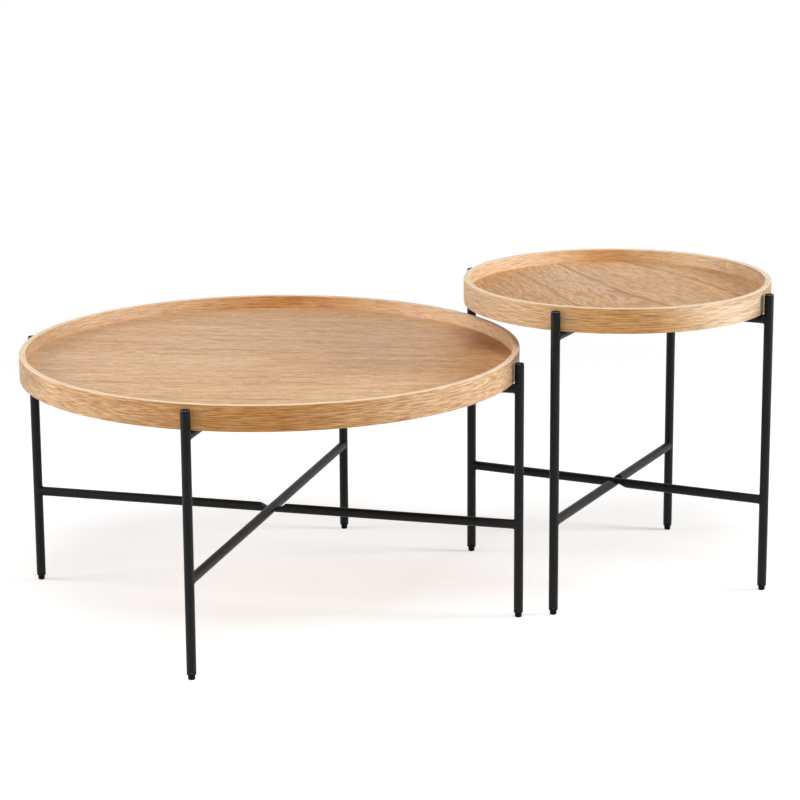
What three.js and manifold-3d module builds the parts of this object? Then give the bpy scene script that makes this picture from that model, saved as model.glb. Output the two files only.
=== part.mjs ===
// A set of two round tray tables that nest: a wide low one, and a narrow tall one whose tray reaches over
// the edge of the wide one. Each stands on four tube legs just outside its tray, tied by two top bars
// under the tray and two stretchers. Millimetres, +Z up.
import * as THREE from 'three';
import { mergeVertices } from 'three/addons/utils/BufferGeometryUtils.js';
import Module from 'manifold-3d';

const wasm = await Module();
wasm.setup();

// Driving dimensions of the set
const LARGE_TRAY_DIAMETER = 800;
const SMALL_TRAY_DIAMETER = 505;
const LARGE_HEIGHT = 424;
const NEST_CLEARANCE = 24.7;      // between the large rim and the small table's top bars over it
const NEST_GAP = 10;              // from the large rim to the nearest leg of the small table
const NEST_DIRECTION = 14;        // degrees, from the large table's centre to the small one's
const LARGE_TURN = -15.2;         // degrees, how far each table is turned on the floor
const SMALL_TURN = -25.8;

// The tray: a bent hoop round a veneered board
const RIM_HEIGHT = 40;
const RIM_THICKNESS = 10;
const RIM_EDGE_RADIUS = 2.5;
const RIM_FOOT_CHAMFER = 1;
const PANEL_THICKNESS = 18;
const PANEL_RECESS = 1;           // the board's underside lies this far above the rim's
const PANEL_TONGUE = 4;           // how deep the board's tongue sits in the rim's groove
const PANEL_TONGUE_STEP = 4;      // from the board's face down to its tongue

// The frame's tube and its pressed half laps
const TUBE_DIAMETER = 15;
const TUBE_WALL = 1.2;
const LEG_GAP = 2.5;              // between the rim and each leg
const LEG_TOP_DROP = 6;           // the legs end this far below the top of the rim
const STRETCHER_HEIGHT = 154;     // from the floor to a stretcher's centre line
const LAP_SIDE_CLEARANCE = 2.5;   // beside the other tube, before the pressed shoulder rises
const LAP_GAP = 0.3;

// Plastic end fittings
const CAP_HEIGHT = 4;
const CAP_EDGE_RADIUS = 1.2;
const CAP_STUB_LENGTH = 10;
const FOOT_HEIGHT = 12;
const FOOT_TIP_DIAMETER = 9.5;
const FOOT_COLLAR_HEIGHT = 2.5;
const FOOT_EDGE_RADIUS = 1.2;
const FOOT_STUB_LENGTH = 14;

// Fasteners
const BOLT_DIAMETER = 5;
const BOLT_HEAD_HEIGHT = 2.2;
const BOLT_END = 0.5;             // how far a bolt passes its nut
const BOLT_SOCKET_DIAMETER = 3;
const BOLT_SOCKET_DEPTH = 1.2;
const NUT_HEIGHT = 2.8;
const SCREW_DIAMETER = 4;
const SCREW_HEAD_DIAMETER = 8;
const SCREW_HEAD_HEIGHT = 2.6;
const SCREW_POINT_LENGTH = 3;
const SCREW_COVER = 6;            // the board left above a screw's point
const SCREW_RADIUS_SHARE = 0.62;  // of the tray's radius

// Clearances
const SEAT_GAP = 0.3;             // between pieces that touch
const HOLE_CLEARANCE = 0.3;       // round each bolt and screw
const FITTING_CLEARANCE = 0.6;    // between a bolt's head or nut and the tube's curved inside
const CUT_OVERRUN = 1;

// Facets
const TRAY_SIDES = 80;
const TUBE_SIDES = 16;
const FASTENER_SIDES = 10;
const EDGE_STEPS = 2;
const SHOULDER_STEPS = 4;

// Sizes that follow from the ones above
const TUBE_RADIUS = TUBE_DIAMETER / 2;
const BORE_RADIUS = TUBE_RADIUS - TUBE_WALL;
const SMALL_HEIGHT = LARGE_HEIGHT + NEST_CLEARANCE + TUBE_DIAMETER + SEAT_GAP + RIM_HEIGHT;
const SCREW_BITE = PANEL_THICKNESS - SCREW_COVER;
const LAP_SEAT = LAP_GAP / 2 + TUBE_WALL + SEAT_GAP;   // from a lap's middle to a bolt's head or nut
const LAP_HALF_LENGTH = TUBE_RADIUS + LAP_SIDE_CLEARANCE + TUBE_RADIUS;
const BOLT_HEAD_RADIUS = roomInTube(LAP_SEAT + BOLT_HEAD_HEIGHT);
const NUT_RADIUS = roomInTube(LAP_SEAT + NUT_HEIGHT);

const MATERIALS = {
  rim: new THREE.MeshStandardMaterial({ color: 0xc69a6a, roughness: 0.55, metalness: 0 }),
  panel: new THREE.MeshStandardMaterial({ color: 0xd4ad87, roughness: 0.5, metalness: 0 }),
  steel: new THREE.MeshStandardMaterial({ color: 0x242627, roughness: 0.5, metalness: 0.4 }),
  plastic: new THREE.MeshStandardMaterial({ color: 0x1a1b1b, roughness: 0.6, metalness: 0 }),
  zinc: new THREE.MeshStandardMaterial({ color: 0xb4b6b8, roughness: 0.35, metalness: 0.9 }),
};

// The widest round fitting that clears the tube's inside at that distance from its centre line.
function roomInTube(offCentre) {
  return Math.sqrt(BORE_RADIUS ** 2 - offCentre ** 2) - FITTING_CLEARANCE;
}

const TURN_UP = new THREE.Matrix4().makeRotationX(Math.PI / 2);
const LAY_ALONG_X = new THREE.Matrix4().makeRotationY(Math.PI / 2);

// A profile of [radius, height] points, going up its outside, turned round the Z axis.
function turned(profile, sides) {
  const points = profile.map(([radius, height]) => new THREE.Vector2(radius, height));
  return new THREE.LatheGeometry(points, sides).applyMatrix4(TURN_UP);
}

// A solid bar of round section between two heights on the Z axis.
function rod(radius, bottom, top, sides) {
  return turned([[0, bottom], [radius, bottom], [radius, top], [0, top]], sides);
}

// Points of a quarter arc from one angle to another, in degrees, round a centre.
function arc(centre, radius, from, to, steps) {
  return Array.from({ length: steps + 1 }, (_, i) => {
    const angle = THREE.MathUtils.degToRad(from + (to - from) * i / steps);
    return [centre[0] + radius * Math.cos(angle), centre[1] + radius * Math.sin(angle)];
  });
}

function solid(geometry) {
  const bare = geometry.clone();
  bare.deleteAttribute('normal');
  bare.deleteAttribute('uv');
  const merged = mergeVertices(bare);
  const triVerts = new Uint32Array(merged.index.array);
  const vertProperties = new Float32Array(merged.attributes.position.array);
  return new wasm.Manifold(new wasm.Mesh({ numProp: 3, vertProperties, triVerts }));
}

function geometryOf(manifold) {
  const mesh = manifold.getMesh();
  const geometry = new THREE.BufferGeometry();
  geometry.setAttribute('position', new THREE.BufferAttribute(new Float32Array(mesh.vertProperties), 3));
  geometry.setIndex(new THREE.BufferAttribute(new Uint32Array(mesh.triVerts), 1));
  geometry.computeVertexNormals();
  return geometry;
}

// The first geometry with all the others cut out of it.
function cut(geometry, ...tools) {
  return geometryOf(tools.reduce((left, tool) => left.subtract(solid(tool)), solid(geometry)));
}

function placed(name, geometry, material, x = 0, y = 0, z = 0) {
  const mesh = new THREE.Mesh(geometry, material);
  mesh.name = name;
  mesh.position.set(x, y, z);
  return mesh;
}

// The hoop, from the height of its underside: rounded at the top, grooved inside for the board's tongue.
function rimGeometry(radius) {
  const inner = radius - RIM_THICKNESS;
  const grooveBottom = PANEL_RECESS - SEAT_GAP;
  const grooveTop = PANEL_RECESS + PANEL_THICKNESS - PANEL_TONGUE_STEP + SEAT_GAP;
  const grooveRadius = inner + PANEL_TONGUE;
  const round = RIM_HEIGHT - RIM_EDGE_RADIUS;
  return turned([
    [inner + RIM_FOOT_CHAMFER, 0],
    [radius - RIM_FOOT_CHAMFER, 0],
    [radius, RIM_FOOT_CHAMFER],
    ...arc([radius - RIM_EDGE_RADIUS, round], RIM_EDGE_RADIUS, 0, 90, EDGE_STEPS),
    ...arc([inner + RIM_EDGE_RADIUS, round], RIM_EDGE_RADIUS, 90, 180, EDGE_STEPS),
    [inner, grooveTop],
    [grooveRadius, grooveTop],
    [grooveRadius, grooveBottom],
    [inner + RIM_FOOT_CHAMFER, grooveBottom],
    [inner + RIM_FOOT_CHAMFER, 0],
  ], TRAY_SIDES);
}

// The board, from the height of its underside: its tongue reaches into the rim, its face ends at the rim,
// and it has a blind pilot hole for each tray screw.
function panelGeometry(radius) {
  const face = radius - RIM_THICKNESS - SEAT_GAP;
  const edge = face + PANEL_TONGUE;
  const tongueTop = PANEL_THICKNESS - PANEL_TONGUE_STEP;
  const pilotRadius = SCREW_DIAMETER / 2 + HOLE_CLEARANCE;
  const pilot = rod(pilotRadius, -CUT_OVERRUN, SCREW_BITE + CUT_OVERRUN, FASTENER_SIDES);
  const holes = [0, 90, 180, 270].map((degrees) => {
    const angle = THREE.MathUtils.degToRad(degrees);
    const reach = radius * SCREW_RADIUS_SHARE;
    return pilot.clone().translate(reach * Math.cos(angle), reach * Math.sin(angle), 0);
  });
  const board = turned([
    [0, 0],
    [edge, 0],
    [edge, tongueTop],
    [face, tongueTop],
    [face, PANEL_THICKNESS],
    [0, PANEL_THICKNESS],
  ], TRAY_SIDES);
  return cut(board, ...holes);
}

// What the press takes off the upper side of a tube at a lap. A wall's offset gives the tube's inside.
function lapTool(wall) {
  const shoulder = TUBE_RADIUS - wall;
  const top = TUBE_RADIUS + CUT_OVERRUN;
  const right = arc([LAP_HALF_LENGTH, 0], shoulder, 180, 90, SHOULDER_STEPS);
  const left = right.map(([x, z]) => [-x, z]).reverse();
  const floor = -LAP_GAP / 2 - wall;
  const outline = [
    [-LAP_HALF_LENGTH + shoulder, floor],
    [LAP_HALF_LENGTH - shoulder, floor],
    ...right,
    [LAP_HALF_LENGTH, top],
    [-LAP_HALF_LENGTH, top],
    ...left,
  ];
  const shape = new THREE.Shape(outline.map(([x, z]) => new THREE.Vector2(x, z)));
  const width = TUBE_DIAMETER + 2 * CUT_OVERRUN;
  const block = new THREE.ExtrudeGeometry(shape, { depth: width, bevelEnabled: false });
  return block.translate(0, 0, -width / 2).applyMatrix4(TURN_UP);
}

// A tube along X between two legs, fitted round them at its ends and pressed from above at its middle.
// Its holes are for the bolt at the lap, or for the tray screws at the given reach.
function crossTube(legReach, screwReach) {
  const along = (radius) => rod(radius, -legReach, legReach, TUBE_SIDES).applyMatrix4(LAY_ALONG_X);
  const outside = solid(along(TUBE_RADIUS)).subtract(solid(lapTool(0)));
  const inside = solid(along(BORE_RADIUS)).subtract(solid(lapTool(TUBE_WALL)));
  const past = TUBE_RADIUS + CUT_OVERRUN;
  const bolt = rod(BOLT_DIAMETER / 2 + HOLE_CLEARANCE, -TUBE_RADIUS / 2, past, FASTENER_SIDES);
  const leg = rod(TUBE_RADIUS + SEAT_GAP, -past, past, TUBE_SIDES);
  const screw = rod(SCREW_DIAMETER / 2 + HOLE_CLEARANCE, -past, past, FASTENER_SIDES);
  let tube = outside.subtract(inside).subtract(solid(bolt));
  for (const end of [-1, 1]) {
    tube = tube.subtract(solid(leg.clone().translate(end * legReach, 0, 0)));
    if (screwReach) tube = tube.subtract(solid(screw.clone().translate(end * screwReach, 0, 0)));
  }
  return tube;
}

// The lower tube of a lap also has the hole in its underside that lets the bolt in.
function tubeUnder(legReach, screwReach) {
  const hole = BOLT_HEAD_RADIUS + HOLE_CLEARANCE;
  const access = rod(hole, -TUBE_DIAMETER, -TUBE_RADIUS / 2, FASTENER_SIDES);
  return geometryOf(crossTube(legReach, screwReach).subtract(solid(access)));
}

// The upper tube is the same tube rolled over, so that its pressed side faces down.
function tubeOver(legReach, screwReach) {
  return geometryOf(crossTube(legReach, screwReach)).rotateX(Math.PI);
}

function legGeometry(top) {
  const profile = [
    [BORE_RADIUS, FOOT_HEIGHT],
    [TUBE_RADIUS, FOOT_HEIGHT],
    [TUBE_RADIUS, top - CAP_HEIGHT],
    [BORE_RADIUS, top - CAP_HEIGHT],
    [BORE_RADIUS, FOOT_HEIGHT],
  ];
  return turned(profile, TUBE_SIDES);
}

// The plug in a leg's top, from the height of the tube's end.
function capGeometry() {
  const stub = BORE_RADIUS - SEAT_GAP;
  const round = CAP_HEIGHT - CAP_EDGE_RADIUS;
  return turned([
    [0, -CAP_STUB_LENGTH],
    [stub, -CAP_STUB_LENGTH],
    [stub, SEAT_GAP],
    [TUBE_RADIUS, SEAT_GAP],
    ...arc([TUBE_RADIUS - CAP_EDGE_RADIUS, round], CAP_EDGE_RADIUS, 0, 90, EDGE_STEPS),
    [0, CAP_HEIGHT],
  ], TUBE_SIDES);
}

// The foot, from the floor: a tapered tip, a collar as wide as the tube and a stub inside it.
function footGeometry() {
  const stub = BORE_RADIUS - SEAT_GAP;
  const tip = FOOT_TIP_DIAMETER / 2;
  const shoulder = FOOT_HEIGHT - SEAT_GAP;
  return turned([
    [0, 0],
    ...arc([tip - FOOT_EDGE_RADIUS, FOOT_EDGE_RADIUS], FOOT_EDGE_RADIUS, -90, 0, EDGE_STEPS),
    [TUBE_RADIUS, shoulder - FOOT_COLLAR_HEIGHT],
    [TUBE_RADIUS, shoulder],
    [stub, shoulder],
    [stub, FOOT_HEIGHT + FOOT_STUB_LENGTH],
    [0, FOOT_HEIGHT + FOOT_STUB_LENGTH],
  ], TUBE_SIDES);
}

// The bolt of a lap, from the lap's middle: its head lies inside the lower tube.
function boltGeometry() {
  const bottom = -LAP_SEAT - BOLT_HEAD_HEIGHT;
  const end = LAP_SEAT + NUT_HEIGHT + BOLT_END;
  return turned([
    [0, bottom + BOLT_SOCKET_DEPTH],
    [BOLT_SOCKET_DIAMETER / 2, bottom + BOLT_SOCKET_DEPTH],
    [BOLT_SOCKET_DIAMETER / 2, bottom],
    [BOLT_HEAD_RADIUS, bottom],
    [BOLT_HEAD_RADIUS, -LAP_SEAT],
    [BOLT_DIAMETER / 2, -LAP_SEAT],
    [BOLT_DIAMETER / 2, end],
    [0, end],
  ], FASTENER_SIDES);
}

// The round nut fixed inside the upper tube, from the lap's middle.
function nutGeometry() {
  const hole = BOLT_DIAMETER / 2 + HOLE_CLEARANCE;
  return turned([
    [hole, LAP_SEAT],
    [NUT_RADIUS, LAP_SEAT],
    [NUT_RADIUS, LAP_SEAT + NUT_HEIGHT],
    [hole, LAP_SEAT + NUT_HEIGHT],
    [hole, LAP_SEAT],
  ], FASTENER_SIDES);
}

// A pan-head screw, from the centre line of the top bar that it goes through.
function screwGeometry() {
  const seat = -TUBE_RADIUS - SEAT_GAP;
  const tip = TUBE_RADIUS + SEAT_GAP + PANEL_RECESS + SCREW_BITE;
  return turned([
    [0, seat - SCREW_HEAD_HEIGHT],
    [SCREW_DIAMETER / 2, seat - SCREW_HEAD_HEIGHT],
    [SCREW_HEAD_DIAMETER / 2, seat - SCREW_HEAD_HEIGHT / 2],
    [SCREW_HEAD_DIAMETER / 2, seat],
    [SCREW_DIAMETER / 2, seat],
    [SCREW_DIAMETER / 2, tip - SCREW_POINT_LENGTH],
    [0, tip],
  ], FASTENER_SIDES);
}

// One table, centred on the origin. Its legs stand at 0, 90, 180 and 270 degrees before it is turned.
function table({ prefix, diameter, height, overRunsLeftRight }) {
  const group = new THREE.Group();
  const radius = diameter / 2;
  const legReach = radius + LEG_GAP + TUBE_RADIUS;
  const screwReach = radius * SCREW_RADIUS_SHARE;
  const trayBottom = height - RIM_HEIGHT;
  const barHeight = trayBottom - SEAT_GAP - TUBE_RADIUS;
  const legTop = height - LEG_TOP_DROP;
  const add = (name, geometry, material, ...place) => {
    const mesh = placed(prefix + name, geometry, MATERIALS[material], ...place);
    group.add(mesh);
    return mesh;
  };

  add('tray_rim', rimGeometry(radius), 'rim', 0, 0, trayBottom);
  add('tray_panel', panelGeometry(radius), 'panel', 0, 0, trayBottom + PANEL_RECESS);

  const corners = { right: 0, back: 90, left: 180, front: 270 };
  for (const [side, degrees] of Object.entries(corners)) {
    const angle = THREE.MathUtils.degToRad(degrees);
    const at = (reach) => [reach * Math.cos(angle), reach * Math.sin(angle)];
    add(`leg_${side}`, legGeometry(legTop), 'steel', ...at(legReach));
    add(`leg_cap_${side}`, capGeometry(), 'plastic', ...at(legReach), legTop - CAP_HEIGHT);
    add(`foot_${side}`, footGeometry(), 'plastic', ...at(legReach));
    add(`tray_screw_${side}`, screwGeometry(), 'zinc', ...at(screwReach), barHeight);
  }

  const overTurn = overRunsLeftRight ? 0 : Math.PI / 2;
  const underTurn = Math.PI / 2 - overTurn;
  const levels = [['stretcher', STRETCHER_HEIGHT, 0, 'low'], ['top_bar', barHeight, screwReach, 'high']];
  for (const [name, level, screws, word] of levels) {
    add(`${name}_under`, tubeUnder(legReach, screws), 'steel', 0, 0, level).rotation.z = underTurn;
    add(`${name}_over`, tubeOver(legReach, screws), 'steel', 0, 0, level).rotation.z = overTurn;
    add(`crossing_screw_${word}`, boltGeometry(), 'zinc', 0, 0, level);
    add(`crossing_nut_${word}`, nutGeometry(), 'zinc', 0, 0, level);
  }
  return group;
}

// How far the small table's centre lies from the large one's, along that direction from it in degrees,
// when the nearer of its left and front legs stands just off the large rim.
function nestDistance(direction) {
  const legDistance = LARGE_TRAY_DIAMETER / 2 + NEST_GAP + TUBE_RADIUS;
  const reach = SMALL_TRAY_DIAMETER / 2 + LEG_GAP + TUBE_RADIUS;
  const distances = [180, 270].map((corner) => {
    const off = THREE.MathUtils.degToRad(SMALL_TURN + corner - direction);
    const along = reach * Math.cos(off);
    const aside = reach * Math.sin(off);
    return Math.sqrt(legDistance ** 2 - aside ** 2) - along;
  });
  return Math.max(...distances);
}

const large = table({
  prefix: 'large_', diameter: LARGE_TRAY_DIAMETER, height: LARGE_HEIGHT, overRunsLeftRight: false,
});
large.rotation.z = THREE.MathUtils.degToRad(LARGE_TURN);

const small = table({
  prefix: 'small_', diameter: SMALL_TRAY_DIAMETER, height: SMALL_HEIGHT, overRunsLeftRight: true,
});
const nestDirection = THREE.MathUtils.degToRad(NEST_DIRECTION);
const smallDistance = nestDistance(NEST_DIRECTION);
small.rotation.z = THREE.MathUtils.degToRad(SMALL_TURN);
small.position.set(smallDistance * Math.cos(nestDirection), smallDistance * Math.sin(nestDirection), 0);

// The set's origin is on the floor, at the middle of its bounding box.
const nestingTables = new THREE.Group();
nestingTables.add(large, small);
const box = new THREE.Box3().setFromObject(nestingTables, true);
nestingTables.position.set(-(box.min.x + box.max.x) / 2, -(box.min.y + box.max.y) / 2, -box.min.z);

export default nestingTables;
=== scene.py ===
# %% [markdown]
# # Two nesting tray tables
# The real set is a wide low table and a narrow tall one. Each is a round oak tray held by four black
# steel legs, and the narrow one reaches over the edge of the wide one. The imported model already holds
# every piece at its real size, so this script loads it as a fixed frame and dresses it. Lengths are in
# metres, and places come from the frame, so nothing is fitted by eye.

# %% Load the frame
import math
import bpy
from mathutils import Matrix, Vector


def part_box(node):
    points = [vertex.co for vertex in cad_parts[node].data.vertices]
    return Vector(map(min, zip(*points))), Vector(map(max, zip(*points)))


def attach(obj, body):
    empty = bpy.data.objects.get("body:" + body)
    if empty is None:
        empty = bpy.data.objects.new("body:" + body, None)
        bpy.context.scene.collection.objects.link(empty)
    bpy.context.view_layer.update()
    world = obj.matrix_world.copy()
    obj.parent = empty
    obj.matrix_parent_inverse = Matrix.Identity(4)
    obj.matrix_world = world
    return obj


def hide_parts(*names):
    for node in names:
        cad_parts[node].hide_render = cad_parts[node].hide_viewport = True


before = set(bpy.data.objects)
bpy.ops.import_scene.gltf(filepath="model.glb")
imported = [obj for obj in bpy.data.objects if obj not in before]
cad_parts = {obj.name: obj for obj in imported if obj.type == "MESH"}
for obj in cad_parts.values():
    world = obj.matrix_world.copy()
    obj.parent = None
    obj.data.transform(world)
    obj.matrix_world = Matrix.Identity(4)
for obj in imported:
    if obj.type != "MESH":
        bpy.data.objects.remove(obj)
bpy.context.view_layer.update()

from types import SimpleNamespace

import bpy
import numpy as np
from mathutils import Matrix, Vector

MILLIMETRE = 0.001

# %% [markdown]
# ## The camera
# The view could be set by hand until the outlines agree. It was worked out instead, from the ellipses of
# the two trays and the lines of the legs, because one camera then has to explain both tables. It stands
# about four and a half metres away and looks down by fourteen degrees, so the legs hardly converge.

# %% Stand the camera where the tables were seen from
SENSOR_WIDTH_MM = 36
FOCAL_LENGTH_MM = 124.45
CAMERA_PLACE = (0.0, -4.3294, 1.40467)
LOOK_DOWN = math.radians(13.909)
LEAN = math.radians(-0.332)

camera_data = bpy.data.cameras.new("camera")
camera_data.sensor_width = SENSOR_WIDTH_MM
camera_data.lens = FOCAL_LENGTH_MM
camera = bpy.data.objects.new("camera", camera_data)
bpy.context.scene.collection.objects.link(camera)
level_view = math.radians(90)
aim = Matrix.Rotation(level_view - LOOK_DOWN, 4, "X") @ Matrix.Rotation(LEAN, 4, "Z")
camera.matrix_world = Matrix.Translation(CAMERA_PLACE) @ aim
bpy.context.scene.camera = camera
print("camera at", [round(value, 3) for value in camera.matrix_world.translation])

# %% [markdown]
# ## Measuring the two tables
# Each table is worked out in its own frame, with its middle on the Z axis and its legs at 0, 90, 180 and
# 270 degrees, and then it is turned and moved to its place. The middle, the turn, the radii and the
# heights could be typed in again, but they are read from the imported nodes, so both models always agree.

# %% Read each table's places from its nodes
SIDES = ("right", "back", "left", "front")


def mesh_points(mesh):
    """All the vertices of a mesh, as rows of x, y, z."""
    flat = np.empty(len(mesh.vertices) * 3, np.float32)
    mesh.vertices.foreach_get("co", flat)
    return flat.reshape(-1, 3).astype(float)


def points_of(node):
    """All the vertices of a node of the frame."""
    return mesh_points(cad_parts[node].data)


def middle_of(node):
    """The middle of a node's box."""
    low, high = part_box(node)
    return np.array((low + high) / 2)


def level_reach(node, middle):
    """The level distance of each vertex of a node from a middle."""
    away = points_of(node) - middle
    return np.hypot(away[:, 0], away[:, 1])


MEASURED_NODES = {"rim": "tray_rim", "board": "tray_panel", "leg": "leg_right", "foot": "foot_right",
                  "cap": "leg_cap_right", "screw": "tray_screw_right"}


def measure(prefix):
    """Gathers the place and the sizes of one table from its nodes."""
    leg_middles = np.array([middle_of(f"{prefix}_leg_{side}") for side in SIDES])
    middle = leg_middles.mean(axis=0)
    spoke = leg_middles[0] - middle
    heights = {}
    for piece, node in MEASURED_NODES.items():
        low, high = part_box(f"{prefix}_{node}")
        heights |= {f"{piece}_bottom": low.z, f"{piece}_top": high.z}
    rim_reach = level_reach(f"{prefix}_tray_rim", middle)
    board_reach = level_reach(f"{prefix}_tray_panel", middle)
    tube_reach = level_reach(f"{prefix}_leg_right", leg_middles[0])
    tongue = board_reach > board_reach.max() - MILLIMETRE
    screw_middle = middle_of(f"{prefix}_tray_screw_right") - middle
    return SimpleNamespace(
        prefix=prefix,
        body=f"{prefix}_table",
        middle=np.array([middle[0], middle[1], 0]),
        turn=math.atan2(spoke[1], spoke[0]),
        leg_reach=math.hypot(spoke[0], spoke[1]),
        tube_radius=tube_reach.max(),
        bore_radius=tube_reach.min(),
        rim_radius=rim_reach.max(),
        rim_inner=rim_reach.min(),
        tongue_radius=board_reach.max(),
        tongue_top=points_of(f"{prefix}_tray_panel")[tongue, 2].max(),
        stretcher_height=middle_of(f"{prefix}_stretcher_under")[2],
        bar_height=middle_of(f"{prefix}_top_bar_under")[2],
        screw_reach=math.hypot(screw_middle[0], screw_middle[1]),
        **heights,
    )


tables = [measure("large"), measure("small")]
for table in tables:
    print(table.prefix, "tray", round(2 * table.rim_radius, 4), "wide,", round(table.rim_top, 4),
          "high, turned", round(math.degrees(table.turn), 2), "degrees")

# %% [markdown]
# ## Surfaces from arrays
# Every part of these tables is round about some line, so each can be a row of rings: a turned profile, a
# tube along a line, or a bead along a curve. Blender's own primitives could stand in for most of them,
# but a formula on whole arrays gives rounded edges, pressed tubes and coped ends at no more trouble.

# %% Close a row of rings into a surface
def shell(rings, looped=False):
    """The points and faces of the closed surface through rings of points.

    rings has the shape (rings, points in a ring, 3). Each point is joined to the next of its ring and to
    the same point of the next ring. A looped surface joins its last ring to its first. Any other is
    closed by triangles from its first and its last ring to that ring's mean point.
    """
    count, sides = rings.shape[:2]
    index = np.arange(count * sides).reshape(count, sides)
    if looped:
        index = np.concatenate([index, index[:1]])
    index = np.concatenate([index, index[:, :1]], axis=1)
    corners = [index[:-1, :-1], index[:-1, 1:], index[1:, 1:], index[1:, :-1]]
    faces = np.stack(corners, axis=-1).reshape(-1, 4).tolist()
    points = rings.reshape(-1, 3)
    if not looped:
        ends = np.stack([rings[0].mean(axis=0), rings[-1].mean(axis=0)])
        points = np.concatenate([points, ends])
        first = np.full(sides, count * sides)
        faces += np.stack([index[0, 1:], index[0, :-1], first], axis=-1).tolist()
        faces += np.stack([index[-1, :-1], index[-1, 1:], first + 1], axis=-1).tolist()
    return points, faces


def joined(surfaces):
    """Several surfaces as one list of points and one of faces."""
    points = []
    faces = []
    for more_points, more_faces in surfaces:
        shift = sum(len(part) for part in points)
        points.append(more_points)
        faces += [[corner + shift for corner in face] for face in more_faces]
    return np.concatenate(points), faces


def lathe(profile, sides, start=0.0):
    """Rings of a profile turned about Z: the point (r, h) goes to (r cos a, r sin a, h) for each angle a.

    A profile that goes up on its outside gives faces that point outwards.
    """
    profile = np.asarray(profile, float)
    angle = start + np.arange(sides) * math.tau / sides
    radius = profile[:, :1]
    height = np.repeat(profile[:, 1:], sides, axis=1)
    return np.stack([radius * np.cos(angle), radius * np.sin(angle), height], axis=-1)


def arc(centre, radius, start, end, steps):
    """Points of an arc: the centre plus the radius times (cos a, sin a), for angles in degrees."""
    angle = np.radians(np.linspace(start, end, steps + 1))
    return np.stack([centre[0] + radius * np.cos(angle), centre[1] + radius * np.sin(angle)], axis=-1)


def turned(points, angle):
    """Points turned about the Z axis."""
    cosine = math.cos(angle)
    sine = math.sin(angle)
    return points @ np.array([[cosine, sine, 0], [-sine, cosine, 0], [0, 0, 1]])


print("a ball of 8 rings has", len(shell(lathe(arc((0, 0), 1, -80, 80, 7), 12))[1]), "faces")

# %% [markdown]
# A piece is a mesh that is already in its place, and it has to ride on a body of the frame, stand for the
# nodes that it replaces and name its finish. Doing all of that in one function keeps every piece alike.
# Faces are shaded smooth, and edges that turn sharply are kept crisp by their angle.

# %% Make a piece of a table
CRISP_EDGE = math.radians(38)
CM3_IN_A_M3 = 1e6


def add_piece(name, surface, table, finish, stands_for=(), corner_uv=None):
    """A mesh object in its table's place that rides on the table's body."""
    points, faces = surface
    name = f"{table.prefix}_{name}"
    mesh = bpy.data.meshes.new(name)
    mesh.from_pydata((turned(points, table.turn) + table.middle).tolist(), [], faces)
    if corner_uv is not None:
        mesh.uv_layers.new(name="grain").uv.foreach_set("vector", corner_uv.astype(np.float32).ravel())
    mesh.polygons.foreach_set("use_smooth", np.ones(len(faces), bool))
    mesh.set_sharp_from_angle(angle=CRISP_EDGE)
    mesh.materials.append(finish)
    piece = bpy.data.objects.new(name, mesh)
    bpy.context.scene.collection.objects.link(piece)
    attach(piece, table.body)
    if stands_for:
        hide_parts(*[f"{table.prefix}_{node}" for node in stands_for])
    return piece


def describe(pieces):
    """Prints how many faces some pieces have, and the volume that they close in.

    The volume is a sixth of the sum of a dot (b cross c) over the triangles with corners a, b and c.
    """
    for piece in pieces:
        mesh = piece.data
        mesh.calc_loop_triangles()
        corners = np.empty(len(mesh.loop_triangles) * 3, np.int32)
        mesh.loop_triangles.foreach_get("vertices", corners)
        first, second, third = mesh_points(mesh)[corners.reshape(-1, 3).T]
        volume = (first * np.cross(second, third)).sum() / 6
        print(f"{piece.name}: {len(mesh.polygons)} faces, {volume * CM3_IN_A_M3:.1f} cm3")


# %% [markdown]
# ## Shader maths
# A finish is a small sum over noises: streaks, pores and bands of colour. The nodes could be placed and
# linked one by one, but a sum reads better as a sum. Wire is one output socket with Python's operators
# on it, and Finish makes nodes of any type with one method, so the cells below read as formulas.

# %% Write finishes as expressions
class Wire:
    """An output of a node. Arithmetic on it adds a Math node and gives that node's output."""

    def __init__(self, finish, socket):
        self.finish = finish
        self.socket = socket

    def calculate(self, operation, *others):
        """A Math node whose first value is this wire."""
        return self.finish.node("Math", {"operation": operation}, dict(enumerate([self, *others])))

    def __add__(self, other):
        return self.calculate("ADD", other)

    def __sub__(self, other):
        return self.calculate("SUBTRACT", other)

    def __rsub__(self, other):
        return self.finish.node("Math", {"operation": "SUBTRACT"}, {0: other, 1: self})

    def __mul__(self, other):
        return self.calculate("MULTIPLY", other)

    def __abs__(self):
        return self.calculate("ABSOLUTE")

    __radd__ = __add__
    __rmul__ = __mul__

    def output(self, key):
        """Another output of the same node."""
        return Wire(self.finish, pick(self.socket.node.outputs, key))


def pick(sockets, key):
    """A socket by its number, its identifier or its name."""
    matches = [socket for socket in sockets if socket.identifier == key]
    return matches[0] if matches else sockets[key]


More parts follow.
